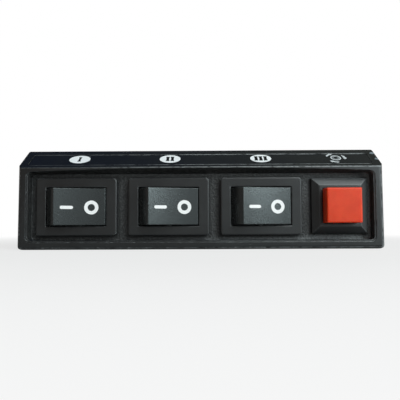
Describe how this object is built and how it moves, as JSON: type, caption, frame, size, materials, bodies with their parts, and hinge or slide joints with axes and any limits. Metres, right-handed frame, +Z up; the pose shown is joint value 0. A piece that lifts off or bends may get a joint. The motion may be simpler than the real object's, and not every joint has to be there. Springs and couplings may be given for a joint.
{
  "type": "switch panel",
  "caption": "Black moulded control panel with rocker switches and a square push button in a recessed face, and a sloping label face with numerals above it.",
  "frame": {"origin": "midway between the two screw bosses, on the plane of the back rim", "axes": "+X to the right as the panel is looked at, +Y into the appliance (the face looks along -Y), +Z up"},
  "size_m": [0.0936, 0.0259, 0.0265],
  "materials": {
    "housing_plastic": "near-black moulded plastic, satin with a fine grain in the recess, edges worn pale",
    "label_film": "glossy printed film with white ovals",
    "switch_plastic": "satin black nylon",
    "paddle_plastic": "satin black with white printed marks",
    "cap_plastic": "satin red",
    "plunger_nylon": "natural nylon",
    "spring_steel": "drawn spring wire",
    "contact_copper": "rolled copper alloy with silver contact rivets",
    "tab_metal": "tin-plated brass"
  },
  "bodies": {
    "panel": {"housing": "housing_plastic", "label_strip": "label_film", "rocker_1_frame": "switch_plastic", "rocker_1_centre_tab": "tab_metal", "rocker_1_end_tab": "tab_metal", "rocker_2_frame": "switch_plastic", "rocker_2_centre_tab": "tab_metal", "rocker_2_end_tab": "tab_metal", "rocker_3_frame": "switch_plastic", "rocker_3_centre_tab": "tab_metal", "rocker_3_end_tab": "tab_metal", "button_body": "switch_plastic", "button_base": "switch_plastic", "button_left_tab": "tab_metal", "button_right_tab": "tab_metal"},
    "paddle_1": {"rocker_1_paddle": "paddle_plastic", "rocker_1_spring": "spring_steel", "rocker_1_plunger": "plunger_nylon"},
    "blade_1": {"rocker_1_blade": "contact_copper"},
    "paddle_2": {"rocker_2_paddle": "paddle_plastic", "rocker_2_spring": "spring_steel", "rocker_2_plunger": "plunger_nylon"},
    "blade_2": {"rocker_2_blade": "contact_copper"},
    "paddle_3": {"rocker_3_paddle": "paddle_plastic", "rocker_3_spring": "spring_steel", "rocker_3_plunger": "plunger_nylon"},
    "blade_3": {"rocker_3_blade": "contact_copper"},
    "button": {"button_cap": "cap_plastic", "button_spring": "spring_steel", "button_carrier": "plunger_nylon", "button_bridge": "contact_copper"}
  },
  "joints": [
    {"name": "rocker_1_tilt", "type": "hinge", "parent": "panel", "child": "paddle_1", "pos_m": [-0.03205, -0.01865, -0.0102], "axis": [0, 0, -1], "range_deg": [0, 28.6]},
    {"name": "blade_1_rock", "type": "hinge", "parent": "panel", "child": "blade_1", "pos_m": [-0.03205, -0.01073, -0.0102], "axis": [0, 0, -1], "range_deg": [-16, 0]},
    {"name": "rocker_2_tilt", "type": "hinge", "parent": "panel", "child": "paddle_2", "pos_m": [-0.00815, -0.01865, -0.0102], "axis": [0, 0, -1], "range_deg": [0, 28.6]},
    {"name": "blade_2_rock", "type": "hinge", "parent": "panel", "child": "blade_2", "pos_m": [-0.00815, -0.01073, -0.0102], "axis": [0, 0, -1], "range_deg": [-16, 0]},
    {"name": "rocker_3_tilt", "type": "hinge", "parent": "panel", "child": "paddle_3", "pos_m": [0.01575, -0.01865, -0.0102], "axis": [0, 0, -1], "range_deg": [0, 28.6]},
    {"name": "blade_3_rock", "type": "hinge", "parent": "panel", "child": "blade_3", "pos_m": [0.01575, -0.01073, -0.0102], "axis": [0, 0, -1], "range_deg": [-16, 0]},
    {"name": "button_press", "type": "slide", "parent": "panel", "child": "button", "axis": [0, 1, 0], "range_m": [0, 0.0024], "stiffness_N_per_m": 400, "springref_m": -0.0015, "deforming": ["button_spring"]}
  ],
  "couplings": [
    {"joint": "blade_1_rock", "follows": "rocker_1_tilt", "ratio": -0.5594},
    {"joint": "blade_2_rock", "follows": "rocker_2_tilt", "ratio": -0.5594},
    {"joint": "blade_3_rock", "follows": "rocker_3_tilt", "ratio": -0.5594}
  ]
}
